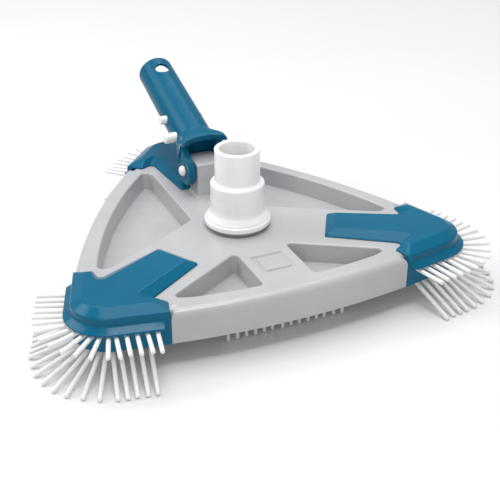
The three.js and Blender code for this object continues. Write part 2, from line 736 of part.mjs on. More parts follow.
export default head;
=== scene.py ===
import math
import random

import bmesh
import bpy
from mathutils import Matrix, Vector


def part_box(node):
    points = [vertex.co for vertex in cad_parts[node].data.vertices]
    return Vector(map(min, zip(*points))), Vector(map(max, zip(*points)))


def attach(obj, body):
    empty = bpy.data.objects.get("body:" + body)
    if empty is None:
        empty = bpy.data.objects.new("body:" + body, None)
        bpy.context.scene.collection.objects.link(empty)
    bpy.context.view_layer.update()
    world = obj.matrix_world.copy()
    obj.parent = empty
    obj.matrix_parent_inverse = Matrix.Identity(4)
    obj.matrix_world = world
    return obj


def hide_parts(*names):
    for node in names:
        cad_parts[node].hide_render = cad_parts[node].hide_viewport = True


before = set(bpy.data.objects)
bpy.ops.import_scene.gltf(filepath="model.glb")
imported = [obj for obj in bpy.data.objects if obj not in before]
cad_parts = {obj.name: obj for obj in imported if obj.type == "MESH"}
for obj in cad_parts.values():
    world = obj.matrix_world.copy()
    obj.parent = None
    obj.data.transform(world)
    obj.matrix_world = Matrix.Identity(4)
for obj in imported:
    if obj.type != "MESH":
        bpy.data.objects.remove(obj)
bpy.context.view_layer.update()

# ---------------------------------------------------------------- places taken from the frame

# The head is built in its own frame, in mm: X to the right, Y to the rear corner, Z up, with the
# origin at the triangle's centre on the flat top. The CAD's boxes say where that is.

MM = 0.001
spigot_low, spigot_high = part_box("spigot")
plate_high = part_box("base_plate")[1]
SPIGOT_Y = -3.75                     # spigot axis, from the triangle's centre
BASE_PLATE_TOP = -19.9
ORIGIN_Y = (spigot_low[1] + spigot_high[1]) / 2 - SPIGOT_Y * MM
ORIGIN_Z = plate_high[2] - BASE_PLATE_TOP * MM
FLOOR_Z = -ORIGIN_Z / MM

# ---------------------------------------------------------------- driving dimensions, in mm

# body shell
SIDE_APOTHEM = 104.2                 # centre to the middle of a side
SIDE_RADIUS = 525.0                  # of the bowed sides
SIDE_HALF_LENGTH = 85.5
WALL_BOTTOM = -22.7
EDGE_RADIUS = 5.5                    # of the rounded top edge
SHELL_WALL = 3.0
SPOKE_HALF_WIDTH = 27.75
POCKET_DEPTH = 14.5
POCKET_SIDE_RADIUS = 400.0           # of the recesses' bowed outer edges
PIN_HOLE_RADIUS = 3.3

# corners and their caps
CORNER_CENTRE_Y = 134.1
CORNER_RADIUS = 24.0
CORNER_ANGLE = 41.2                  # degrees from across to the wall's outward direction
WING_END = -36.0                     # end of a cap's side wall, along it
CAP_TOP = 5.0
SKIRT_INNER = 20.0
LEDGE_OUT = 28.9                     # reach of the bumper ledge
BODY_CORNER_OUT = 19.7

# handle, with distances along the tube counted from TUBE_BASE
PIVOT = (59.0, 19.0)                 # Y and Z of the tilt axis
LEAN = math.radians(18.07)           # of the tube, above level
TUBE_BASE = (109.5, 42.9)            # Y and Z of a point on the tube's axis
TUBE_LOW = 14.9                      # outer radius at the hood
TUBE_HIGH = 14.05                    # outer radius at the free end
TUBE_BORE = 12.0
TUBE_START = -35.0
TUBE_END = 58.85
BORE_START = -33.5
HANGING_HOLE = (44.5, 5.5)           # distance along the tube, radius
HOOD_START = -30.0
VISOR_FRONT = -54.0
VISOR_MIDDLE = -47.8                 # where the curved rim stands furthest back
VISOR_HOLLOW_RADIUS = 37.5
HOOD_HALF_WIDTH = 17.9
HOOD_TOP, HOOD_MIDDLE, HOOD_UNDERSIDE = 17.2, 2.1, -13.0    # above the tube's axis
EAR_INNER = 11.5
EAR_OUTER = 16.5
EAR_RADIUS = 11.7
BLOCK_ROOM = 18.0                    # radius kept clear round the pivot, for the block

# clip, in the same frame as the tube
ARM_INNER, ARM_OUTER = 7.8, 9.5      # distance from the axis
ARM_HALF, ARM_ABOVE = 3.6, 1.0       # half width, middle above the axis
ARM_START = -31.6
CLIP_TOP = 12.0                      # where the arms meet the bend
# each button: distance along, above the axis, radius, left reach, right reach, edge rounding
SMALL_BUTTON = (-5.3, 2, 3.35, 19, 15.2, 0.9)
PRESS_BUTTON = (-27, 2, 4.0, 23, 15.5, 1.8)
BUTTON_CLEARANCE = 0.4

# brushes, with distances along and out from a corner
STRIP_TOP = WALL_BOTTOM - 0.3
STRIP_BOTTOM = STRIP_TOP - 3
SIDE_ROW_Y = -85.0
SIDE_STRIP_HALF = (52, 3)            # half length, half width
SIDE_BRISTLES = 14
SIDE_SPACING = 6.5
SIDE_BRISTLE_RADIUS = 1.3
BRISTLE_RADIUS = 1.5
UPPER_STRAIGHT = (-27.3, -20.9, -14.5, -8.0, -1.6)
UPPER_FAN = (6, 18, 30, 42)          # degrees either side of straight out
LOWER_STRAIGHT = (-22.8, -16.5, -10.2, -3.9)
LOWER_FAN = (0, 11.5, 23, 34.5, 46)
LOWER_TIP_Z = FLOOR_Z + 1.45

CORNERS = {"left": 120.0, "right": -120.0, "rear": 0.0}
SIDES = {"front": 0.0, "right": 120.0, "left": 240.0}

# ---------------------------------------------------------------- plan geometry


def turn_points(points, degrees):
    """Turns points about the Z axis."""
    c, s = math.cos(math.radians(degrees)), math.sin(math.radians(degrees))
    return [(p[0] * c - p[1] * s, p[0] * s + p[1] * c, *p[2:]) for p in points]


def mirror_points(points):
    """Mirrors a line left to right, and keeps the way it turns."""
    return [(-p[0], *p[1:]) for p in reversed(points)]


def offset(points, distance):
    """Moves every side of a counter-clockwise outline outwards by the distance."""
    result = []
    count = len(points)
    for i, point in enumerate(points):
        normals = []
        for a, b in ((points[i - 1], point), (point, points[(i + 1) % count])):
            length = math.hypot(b[0] - a[0], b[1] - a[1])
            normals.append(((b[1] - a[1]) / length, (a[0] - b[0]) / length))
        (ax, ay), (bx, by) = normals
        scale = distance / (1 + ax * bx + ay * by)
        result.append((point[0] + (ax + bx) * scale, point[1] + (ay + by) * scale))
    return result


def rounded(corners, steps=6):
    """Rounds the corners of a closed outline; each entry is (x, y, radius)."""
    result = []
    for i, (x, y, radius) in enumerate(corners):
        if not radius:
            result.append((x, y))
            continue
        before, after = corners[i - 1], corners[(i + 1) % len(corners)]
        here = Vector((x, y))
        back = (Vector(before[:2]) - here).normalized()
        ahead = (Vector(after[:2]) - here).normalized()
        half = back.angle(ahead) / 2
        reach = radius / math.tan(half)
        start, end = here + back * reach, here + ahead * reach
        centre = here + (back + ahead).normalized() * (radius / math.sin(half))
        first = math.atan2(start.y - centre.y, start.x - centre.x)
        sweep = math.atan2(end.y - centre.y, end.x - centre.x) - first
        sweep = (sweep + math.pi) % (2 * math.pi) - math.pi
        for step in range(steps + 1):
            angle = first + sweep * step / steps
            result.append((centre.x + radius * math.cos(angle), centre.y + radius * math.sin(angle)))
    return result


def subdivided(points, longest):
    """Splits the long sides of a closed outline into steps no longer than the given length."""
    result = []
    for i, point in enumerate(points):
        after = points[(i + 1) % len(points)]
        steps = max(1, math.ceil(math.dist(point, after) / longest))
        result += [lerp(point, after, k / steps) for k in range(steps)]
    return result


def side_arc(steps=28):
    """A bowed side facing -Y, from left to right."""
    half = SIDE_HALF_LENGTH / SIDE_RADIUS
    angles = [-half + 2 * half * i / steps for i in range(steps + 1)]
    return [(SIDE_RADIUS * math.sin(a), -SIDE_APOTHEM + SIDE_RADIUS * (1 - math.cos(a))) for a in angles]


def corner_point(along, out):
    """Beside a corner that points along +Y: distance along its straight wall, and out from its centre."""
    c, s = math.cos(math.radians(CORNER_ANGLE)), math.sin(math.radians(CORNER_ANGLE))
    return (out * c - along * s, CORNER_CENTRE_Y + out * s + along * c)


def fan_point(angle, out):
    """Round a corner that points along +Y: angle in degrees from across, and out from its centre."""
    return (out * math.cos(math.radians(angle)), CORNER_CENTRE_Y + out * math.sin(math.radians(angle)))


def corner_arc(out, steps):
    sweep = 180 - 2 * CORNER_ANGLE
    return [fan_point(CORNER_ANGLE + sweep * i / steps, out) for i in range(steps + 1)]


def corner_line(out, start, steps=14):
    """Round a corner at one distance out, from its right wall to its left wall."""
    right = corner_point(start, out)
    return [right, *corner_arc(out, steps), (-right[0], right[1])]


def at(points, z):
    """Lifts a plan outline to a height."""
    return [(p[0], p[1], z) for p in points]


# ---------------------------------------------------------------- mesh building


def lerp(a, b, share):
    return tuple(x + (y - x) * share for x, y in zip(a, b))


def fillet_line(points, reaches, steps=4):
    """Rounds the inner points of an open line, each by its own reach along both neighbours."""
    result = [points[0]]
    for i in range(1, len(points) - 1):
        before, here, after = points[i - 1], points[i], points[i + 1]
        reach = reaches[i]
        if reach <= 0:
            result.append(here)
            continue
        start_limit = 0.48 if reaches[i - 1] > 0 else 0.98
        end_limit = 0.48 if reaches[i + 1] > 0 else 0.98
        start = lerp(here, before, min(start_limit, reach / max(math.dist(here, before), 1e-6)))
        end = lerp(here, after, min(end_limit, reach / max(math.dist(here, after), 1e-6)))
        for step in range(steps + 1):
            t = step / steps
            result.append(lerp(lerp(start, here, t), lerp(here, end, t), t))
    result.append(points[-1])
    return result


def fillet_rings(rings, reaches, steps=4):
    """Rounds a stack of rings, column by column."""
    columns = [fillet_line([ring[i] for ring in rings], reaches, steps) for i in range(len(rings[0]))]
    return [[column[level] for column in columns] for level in range(len(columns[0]))]


def new_object(name, data):
    made = bpy.data.objects.new(name, data)
    bpy.context.scene.collection.objects.link(made)
    return made


class Builder:
    """Collects rings and faces in mm in the head's own frame, then makes one object."""

    def __init__(self):
        self.mesh = bmesh.new()

    def ring(self, points):
        return [self.mesh.verts.new(p) for p in points]

    def skin(self, low, high, closed=True):
        """Joins two rings of the same number of points."""
        count = len(low)
        for i in range(count if closed else count - 1):
            j = (i + 1) % count
            self.face([low[i], low[j], high[j], high[i]])

    def face(self, verts):
        """A face without its repeated corners."""
        unique = []
        for vert in verts:
            if vert not in unique:
                unique.append(vert)
        if len(unique) > 2:
            self.mesh.faces.new(unique)

    def stack(self, rings, close_low=False, close_high=False):
        """Joins each ring to the next, and closes the ends on request."""
        made = [self.ring(points) for points in rings]
        for low, high in zip(made, made[1:]):
            self.skin(low, high)
        if close_low:
            self.face(list(reversed(made[0])))
        if close_high:
            self.face(made[-1])
        return made

    def fill(self, rings):
        """Fills the flat area between nested rings."""
        edges = []
        for ring in rings:
            for i, vert in enumerate(ring):
                other = ring[(i + 1) % len(ring)]
                edges.append(self.mesh.edges.get((vert, other)) or self.mesh.edges.new((vert, other)))
        bmesh.ops.triangle_fill(self.mesh, edges=edges, use_beauty=True)

    def finish(self, name, merge=1e-4):
        """Merges what coincides and makes an object, still in mm."""
        bmesh.ops.remove_doubles(self.mesh, verts=self.mesh.verts, dist=merge)
        bmesh.ops.recalc_face_normals(self.mesh, faces=self.mesh.faces)
        data = bpy.data.meshes.new(name)
        self.mesh.to_mesh(data)
        self.mesh.free()
        return new_object(name, data)


def to_cad_frame(thing):
    """Turns a mesh from mm in the head's frame to metres in the CAD's frame."""
    thing.data.transform(Matrix.Translation((0, ORIGIN_Y, ORIGIN_Z)) @ Matrix.Scale(MM, 4))


def turn_z(degrees):
    return Matrix.Rotation(math.radians(degrees), 4, "Z")


def piece(thing, material, body, replaced, turn=0.0, angle=38.0, weighted=True):
    """Places a finished mesh, gives it its material and hangs it on its CAD body."""
    if turn:
        thing.data.transform(turn_z(turn))
    to_cad_frame(thing)
    thing.data.materials.clear()
    thing.data.materials.append(material)
    thing.data.shade_smooth()
    thing.data.set_sharp_from_angle(angle=math.radians(angle))
    if weighted:
        modifier = thing.modifiers.new("even_shading", "WEIGHTED_NORMAL")
        modifier.keep_sharp = True
        modifier.weight = 60
    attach(thing, body)
    if replaced:
        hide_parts(*replaced)


def turned(profile, segments=64):
    """A turned solid about Z, from (radius, z) points that run from the bottom to the top."""
    build = Builder()
    angles = [2 * math.pi * i / segments for i in range(segments)]
    rings = []
    for radius, z in profile:
        if radius <= 1e-6:
            rings.append([build.mesh.verts.new((0, 0, z))] * segments)
        else:
            rings.append(build.ring([(radius * math.cos(a), radius * math.sin(a), z) for a in angles]))
    for low, high in zip(rings, rings[1:]):
        build.skin(low, high)
    return build


def boolean(target, tool, kind):
    """Cuts the tool from the target or joins it on, and removes the tool."""
    modifier = target.modifiers.new(kind, "BOOLEAN")
    modifier.operation = kind
    modifier.solver = "MANIFOLD"
    modifier.object = tool
    apply_modifiers(target)
    bpy.data.objects.remove(tool)


def apply_modifiers(thing):
    graph = bpy.context.evaluated_depsgraph_get()
    data = bpy.data.meshes.new_from_object(thing.evaluated_get(graph))
    thing.modifiers.clear()
    thing.data = data


def rod(name, radius, start, end, segments):
    """A plain round tool along Z."""
    return turned([(0, start), (radius, start), (radius, end), (0, end)], segments).finish(name)


def along_x(x, y, z):
    """Lays a solid that was turned about Z along X, at a place."""
    return Matrix.Translation((x, y, z)) @ Matrix.Rotation(math.pi / 2, 4, "Y")


def drill_along_x(target, radius, centre):
    """Drills right through, from left to right, at a place given by its Y and Z."""
    tool = rod("drill", radius, -30, 30, 40)
    tool.data.transform(along_x(0, *centre))
    boolean(target, tool, "DIFFERENCE")


# ---------------------------------------------------------------- materials


def shader_tree(name):
    """A new material, its nodes, its shader, and the place on the object that its patterns use."""
    material = bpy.data.materials.new(name)
    material.use_nodes = True
    tree = material.node_tree
    where = tree.nodes.new("ShaderNodeTexCoord").outputs["Object"]
    return material, tree, tree.nodes["Principled BSDF"], where


def noise(tree, scale, detail, rough, where):
    node = tree.nodes.new("ShaderNodeTexNoise")
    node.inputs["Scale"].default_value = scale
    node.inputs["Detail"].default_value = detail
    node.inputs["Roughness"].default_value = rough
    tree.links.new(where, node.inputs["Vector"])
    return node.outputs["Fac"]


def ramp(tree, value, stops):
    node = tree.nodes.new("ShaderNodeValToRGB")
    elements = node.color_ramp.elements
    while len(elements) > 1:
        elements.remove(elements[-1])
    elements[0].position, elements[0].color = stops[0][0], (*stops[0][1], 1)
    for position, color in stops[1:]:
        elements.new(position).color = (*color, 1)
    tree.links.new(value, node.inputs["Fac"])
    return node.outputs["Color"]


def remap(tree, value, low, high, to_low, to_high):
    node = tree.nodes.new("ShaderNodeMapRange")
    for key, number in zip(("From Min", "From Max", "To Min", "To Max"), (low, high, to_low, to_high)):
        node.inputs[key].default_value = number
    tree.links.new(value, node.inputs["Value"])
    return node.outputs["Result"]


def bump(tree, height, strength, distance, below=None):
    """Bumps the surface by a pattern, on top of another bump when one is given."""
    node = tree.nodes.new("ShaderNodeBump")
    node.inputs["Strength"].default_value = strength
    node.inputs["Distance"].default_value = distance
    tree.links.new(height, node.inputs["Height"])
    if below:
        tree.links.new(below, node.inputs["Normal"])
    return node.outputs["Normal"]


def moulded_plastic(name, color, roughness, grain=0.05, subsurface=0.0, scuffs=0.5, gloss_level=0.5):
    """Moulded plastic: fine moulding grain, faint tone drift, soft scuffs that change the gloss."""
    material, tree, shader, where = shader_tree(name)
    drift = noise(tree, 22, 3, 0.55, where)
    dark = tuple(c * 0.94 for c in color)
    light = tuple(min(1, c * 1.05 + 0.002) for c in color)
    base = ramp(tree, drift, [(0.3, dark), (0.55, color), (0.8, light)])
    scuff_source = noise(tree, 140, 6, 0.65, where)
    scuff = remap(tree, scuff_source, 0.45, 0.75, 0.0, scuffs)
    mix = tree.nodes.new("ShaderNodeMix")
    mix.data_type = "RGBA"
    mix.inputs["B"].default_value = (*(min(1, c * 1.12 + 0.012) for c in color), 1)
    tree.links.new(scuff, mix.inputs["Factor"])
    tree.links.new(base, mix.inputs["A"])
    tree.links.new(mix.outputs["Result"], shader.inputs["Base Color"])
    gloss_source = noise(tree, 60, 5, 0.6, where)
    gloss = remap(tree, gloss_source, 0.3, 0.75, roughness * 0.86, roughness * 1.22)
    tree.links.new(gloss, shader.inputs["Roughness"])
    fine = bump(tree, noise(tree, 2600, 2, 0.5, where), grain, 0.00012)
    slow = bump(tree, noise(tree, 90, 2, 0.5, where), 0.06, 0.0006, fine)
    tree.links.new(slow, shader.inputs["Normal"])
    shader.inputs["Specular IOR Level"].default_value = gloss_level
    if subsurface:
        shader.inputs["Subsurface Weight"].default_value = subsurface
        shader.inputs["Subsurface Radius"].default_value = (0.004, 0.004, 0.0035)
        shader.inputs["Subsurface Scale"].default_value = 0.5
    return material


SHELL_COLOR = (0.45, 0.455, 0.466)
GREY = moulded_plastic("grey_shell_plastic", SHELL_COLOR, 0.20, grain=0.05, scuffs=0.25)
PLATE_GREY = moulded_plastic("grey_plate_plastic", SHELL_COLOR, 0.42, grain=0.25, scuffs=0.5)
BLUE = moulded_plastic("blue_cap_plastic", (0.002, 0.116, 0.212), 0.18, grain=0.06, scuffs=0.15,
                       gloss_level=0.15)
HANDLE_BLUE = moulded_plastic("blue_handle_plastic", (0.002, 0.108, 0.198), 0.25, grain=0.08, scuffs=0.2,
                              gloss_level=0.1)
WHITE = moulded_plastic("white_spigot_plastic", (0.95, 0.945, 0.93), 0.25, grain=0.05, subsurface=0.2,
                        scuffs=0.3)
CLIP_WHITE = moulded_plastic("white_clip_plastic", (0.86, 0.86, 0.85), 0.28, grain=0.05, subsurface=0.1,
                             scuffs=0.3)
NYLON = moulded_plastic("white_bristle_nylon", (0.82, 0.82, 0.81), 0.38, grain=0.12, subsurface=0.12,
                        scuffs=0.2)
RUBBER = moulded_plastic("black_seal_rubber", (0.3, 0.3, 0.305), 0.62, grain=0.3, scuffs=0.5)


def metal(name, color, roughness, scratch_scale):
    """Metal with fine turning scratches and dull patches."""
    material, tree, shader, where = shader_tree(name)
    patches = noise(tree, 160, 5, 0.6, where)
    dark = tuple(c * 0.75 for c in color)
    tree.links.new(ramp(tree, patches, [(0.35, dark), (0.6, color)]), shader.inputs["Base Color"])
    gloss = remap(tree, patches, 0.3, 0.7, roughness * 1.3, roughness * 0.8)
    tree.links.new(gloss, shader.inputs["Roughness"])
    scratches = noise(tree, scratch_scale, 4, 0.7, where)
    tree.links.new(bump(tree, scratches, 0.2, 0.0001), shader.inputs["Normal"])
    shader.inputs["Metallic"].default_value = 1.0
    return material


STEEL = metal("stainless_screw_steel", (0.62, 0.62, 0.63), 0.28, 3000)
IRON = metal("cast_ballast_iron", (0.16, 0.16, 0.17), 0.6, 500)

# ---------------------------------------------------------------- body shell


def body_outline():
    outline = []
    for turn in SIDES.values():
        outline += turn_points(side_arc(), turn)
        outline += turn_points(corner_line(BODY_CORNER_OUT, WING_END - 0.3), turn - 120)
    return outline


def pocket_outer_y(x, inset):
    """A line inside the bowed side that faces -Y."""
    return -SIDE_APOTHEM + inset + POCKET_SIDE_RADIUS * (1 - math.cos(math.asin(x / POCKET_SIDE_RADIUS)))


def spoke_edge_y(x):
    """The front edges of the two spokes that run to the left and right corners."""
    return -SPOKE_HALF_WIDTH / math.cos(math.radians(30)) - abs(x) * math.tan(math.radians(30))


def big_pocket():
    """The recess that fills one side, drawn on the side that faces -Y."""
    tip = 77.0
    outer = [(x, pocket_outer_y(x, 13), 0) for x in range(-60, 61, 6)]
    return rounded([
        (0, spoke_edge_y(0), 6), (-tip, spoke_edge_y(tip), 7), (-tip + 1, pocket_outer_y(tip, 13), 3.4),
        *outer, (tip - 1, pocket_outer_y(tip, 13), 3.4), (tip, spoke_edge_y(tip), 7)], 8)


def small_pocket():
    """The right half of the front side's recess, beside the square mark."""
    inner, tip = 18.5, 79.0
    outer = [(x, pocket_outer_y(x, 15), 0) for x in range(26, 67, 5)]
    return rounded([
        (inner, spoke_edge_y(inner), 3.2), (inner, pocket_outer_y(inner, 15), 3.2), *outer,
        (tip, (pocket_outer_y(tip, 15) + spoke_edge_y(tip)) / 2, 3.0)], 8)


def port_circle(radius, count=64):
    """A circle round the spigot's axis."""
    angles = [2 * math.pi * i / count for i in range(count)]
    return [(radius * math.cos(a), SPIGOT_Y + radius * math.sin(a)) for a in angles]


def body_shell():
    build = Builder()
    plan = body_outline()
    rings = [at(offset(plan, -0.5), WALL_BOTTOM), at(offset(plan, -0.12), WALL_BOTTOM + 0.14),
             at(plan, WALL_BOTTOM + 0.5)]
    edge_steps = 9
    for i in range(edge_steps + 1):
        angle = math.radians(90 * i / edge_steps)
        inset = EDGE_RADIUS * (1 - math.cos(angle))
        rings.append(at(offset(plan, -inset), -EDGE_RADIUS * (1 - math.sin(angle))))
    outer = build.stack(rings)

    pockets = [turn_points(big_pocket(), 120), turn_points(big_pocket(), 240), small_pocket(),
               mirror_points(small_pocket())]
    profile = [(1.5, 0), (0, 0), (-1.2, -POCKET_DEPTH), (-2.5, -POCKET_DEPTH)]
    line = fillet_line(profile, [0, 1.4, 1.25, 0], 5)
    rims = []
    for pocket in pockets:
        levels = build.stack([at(offset(pocket, reach), z) for reach, z in line])
        build.fill([levels[-1]])
        rims.append(levels[0])

    port = build.stack([at(port_circle(radius), z) for radius, z in (
        (16.6, 0), (16.1, -0.3), (15.9, -0.8), (15.9, BASE_PLATE_TOP + 0.2))])

    square_out = rounded([(12, -75.8, 1.6), (12, -52.8, 1.6), (-12, -52.8, 1.6), (-12, -75.8, 1.6)], 4)
    square_in = rounded([(9, -73, 0.8), (9, -55.6, 0.8), (-9, -55.6, 0.8), (-9, -73, 0.8)], 4)
    groove = build.stack([at(offset(square, reach), z) for square, reach, z in (
        (square_out, 0.45, 0), (square_out, 0.1, -0.2), (square_out, -0.7, -1.15),
        (square_in, 0.6, -1.15), (square_in, -0.1, -0.2), (square_in, -0.4, 0))])
    build.face(groove[-1])

    build.fill([outer[-1], *rims, port[0], groove[0]])
    inner_plan = offset(plan, -SHELL_WALL)
    inner = build.stack([at(inner_plan, WALL_BOTTOM), at(inner_plan, BASE_PLATE_TOP + 0.2)])
    build.skin(outer[0], inner[0])
    build.fill([inner[-1], port[-1]])
    return build.finish("body_shell_look")


piece(body_shell(), GREY, "head", ["body_shell"], angle=45)


def pivot_block():
    build = Builder()
    low = rounded([(-10.3, 46, 2.2), (10.3, 46, 2.2), (10.3, 64.2, 1.2), (-10.3, 64.2, 1.2)])
    high = rounded([(-10.3, 46, 2.2), (10.3, 46, 2.2), (10.3, 70, 1.6), (-10.3, 70, 1.6)])
    base = [at(offset(low, 1.4), -0.3), at(offset(low, 1.4), 0.0), at(low, 1.6), at(low, CAP_TOP + 0.45),
            at(high, CAP_TOP + 0.5), at(high, 27), at(offset(high, -1.45), 27)]
    rings = fillet_rings(base, [0, 0.2, 1.4, 0, 0.5, 1.4, 0], 5)
    build.stack(rings, close_low=True, close_high=True)
    return build.finish("pivot_block_look")


block = pivot_block()
drill_along_x(block, PIN_HOLE_RADIUS, PIVOT)
piece(block, GREY, "head", [], angle=35)

# ---------------------------------------------------------------- underside


def screw_places():
    """The name of each screw, and its place on the underside."""
    cap_x, cap_y = corner_point(-18, 12)
    places = []
    for name, turn in CORNERS.items():
        for key, x in (("a", cap_x), ("b", -cap_x)):
            places.append((f"{name}_cap_screw_{key}", turn_points([(x, cap_y)], turn)[0]))
    for name, turn in SIDES.items():
        for key, x in (("a", -48.5), ("b", 48.5)):
            places.append((f"{name}_strip_screw_{key}", turn_points([(x, SIDE_ROW_Y)], turn)[0]))
    for name, turn in CORNERS.items():
        places.append((f"{name}_plate_screw", turn_points([(0, 66.0)], turn)[0]))
    return places


def base_plate():
    build = Builder()
    plan = offset(body_outline(), -SHELL_WALL - 0.3)
    outer = build.stack([
        at(plan, BASE_PLATE_TOP), at(plan, WALL_BOTTOM + 0.4), at(offset(plan, -0.4), WALL_BOTTOM)])
    inner = build.stack([at(port_circle(radius), z) for radius, z in (
        (20.4, WALL_BOTTOM), (19.6, WALL_BOTTOM + 0.3), (19.2, WALL_BOTTOM + 1.0), (19.2, BASE_PLATE_TOP))])
    build.fill([outer[-1], inner[0]])
    build.fill([outer[0], inner[-1]])
    return build.finish("base_plate_look")


piece(base_plate(), PLATE_GREY, "head", ["base_plate"], angle=40)


def tapered_rod(build, root, tip, radius, sides=12):
    """A round bristle with a slightly rounded free end."""
    start, end = Vector(root), Vector(tip)
    axis = (end - start).normalized()
    across = axis.orthogonal().normalized()
    other = axis.cross(across)
    length = (end - start).length
    angles = [2 * math.pi * i / sides for i in range(sides)]
    rings = []
    for along, r in ((0, radius), (length - radius * 0.35, radius * 0.985),
                     (length - radius * 0.1, radius * 0.86), (length, radius * 0.55)):
        centre = start + axis * along
        rings.append([centre + (across * math.cos(a) + other * math.sin(a)) * r for a in angles])
    build.stack(rings, close_low=True, close_high=True)


def side_brush(seed):
    draw = random.Random(seed)
    build = Builder()
    half_length, half_width = SIDE_STRIP_HALF
    front, back = SIDE_ROW_Y - half_width, SIDE_ROW_Y + half_width
    plan = rounded([(-half_length, front, 2), (half_length, front, 2), (half_length, back, 2),
                    (-half_length, back, 2)])
    build.stack([at(offset(plan, -0.5), STRIP_BOTTOM), at(plan, STRIP_BOTTOM + 0.5), at(plan, STRIP_TOP)],
                close_low=True, close_high=True)
    for i in range(SIDE_BRISTLES):
        x = (i - (SIDE_BRISTLES - 1) / 2) * SIDE_SPACING
        tip = (x + draw.uniform(-0.5, 0.5), SIDE_ROW_Y + draw.uniform(-0.5, 0.5), FLOOR_Z + 0.7)
        tapered_rod(build, (x, SIDE_ROW_Y, STRIP_TOP - 1), tip, SIDE_BRISTLE_RADIUS)
    return build.finish("side_brush")


for count, (name, turn) in enumerate(SIDES.items()):
    brush = side_brush(10 + count)
    brush.name = f"{name}_side_brush_look"
    piece(brush, NYLON, "head", [f"{name}_side_brush"], turn=turn, angle=50, weighted=False)


def row_ends(straight, fan, inner, outer):
    """The roots and tips of a corner's row; inner and outer are each (distance out, height)."""
    ends = []
    for along in straight:
        start, end = corner_point(along, inner[0]), corner_point(along, outer[0])
        for side in (1, -1):
            ends.append(((side * start[0], start[1], inner[1]), (side * end[0], end[1], outer[1])))
    for angle in fan:
        for side in ((1,) if angle == 0 else (1, -1)):
            a = 90 + side * angle
            ends.append(((*fan_point(a, inner[0]), inner[1]), (*fan_point(a, outer[0]), outer[1])))
    return ends


def corner_strip(inner, outer, start):
    return [*corner_line(outer, start), *reversed(corner_line(inner, start))]


def brush_rods(build, ends, seed, rise):
    """Adds the bristles, each tip a little astray and up to the given rise higher."""
    draw = random.Random(seed)
    for root, (x, y, z) in ends:
        tip = (x + draw.uniform(-0.6, 0.6), y + draw.uniform(-0.6, 0.6), z + draw.uniform(0, rise))
        tapered_rod(build, root, tip, BRISTLE_RADIUS)


def upper_brush(seed):
    build = Builder()
    brush_rods(build, row_ends(UPPER_STRAIGHT, UPPER_FAN, (22.6, -11.3), (48.3, -10.9)), seed, 0.5)
    return build.finish("upper_brush")


def lower_brush(seed):
    build = Builder()
    strip = corner_strip(9, 18, -26)
    build.stack([at(offset(strip, -0.4), STRIP_BOTTOM), at(strip, STRIP_BOTTOM + 0.4), at(strip, STRIP_TOP)],
                close_low=True, close_high=True)
    brush_rods(build, row_ends(LOWER_STRAIGHT, LOWER_FAN, (16, -24.3), (53.0, LOWER_TIP_Z)), seed, 0.0)
    return build.finish("lower_brush")


for count, (name, turn) in enumerate(CORNERS.items()):
    for kind, make in (("upper", upper_brush), ("lower", lower_brush)):
        brush = make(100 + 10 * count + (kind == "lower"))
        brush.name = f"{name}_{kind}_brush_look"
        piece(brush, NYLON, "head", [f"{name}_{kind}_brush"], turn=turn, angle=50,
              weighted=False)

# ---------------------------------------------------------------- corner caps

CAP_ARC = 24                                  # steps round a corner
LEDGE_ALONG = (-34.1, -31.3, -20.0, -10.0)    # stations along the straight wall


def cap_half(face):
    """Right half of a cap outline: on the flat top, or around its raised face."""
    if face:
        corners = [(0, 71.6, 0), (12.0, 71.6, 1.3), (14.3, 128.8, 5.0), (28.4, 119.6, 1.2), (30.6, 123.4, 0)]
    else:
        end = corner_point(WING_END, CORNER_RADIUS)
        corners = [(0, 64.8, 0), (17.5, 64.8, 2.0), (21.9, 119.3, 3.4), (32.4, 113.9, 1.0), (*end, 0)]
    return rounded(corners, 6)[1:]


def cap_wall(out):
    """The wall's outer points from the right wing's end to the left wing's end."""
    right = [corner_point(along, out) for along in LEDGE_ALONG]
    return [*right, *corner_arc(out, CAP_ARC), *mirror_points(right)]


def cap_face_wall(out):
    """The same line for the raised face, with as many points."""
    steps = len(LEDGE_ALONG) + 1
    right = [corner_point(-28.0 + 28.0 * i / steps, out) for i in range(1, steps)]
    return [*right, *corner_arc(out, CAP_ARC), *mirror_points(right)]


def skirt_line(out, end_out, z):
    """Outline of the skirt or its ledge: it leaves the wall between its first two stations."""
    right = [corner_point(WING_END, CORNER_RADIUS), corner_point(LEDGE_ALONG[0], end_out)]
    right += [corner_point(along, out) for along in LEDGE_ALONG[1:]]
    return at([*right, *corner_arc(out, CAP_ARC), *mirror_points(right)], z)


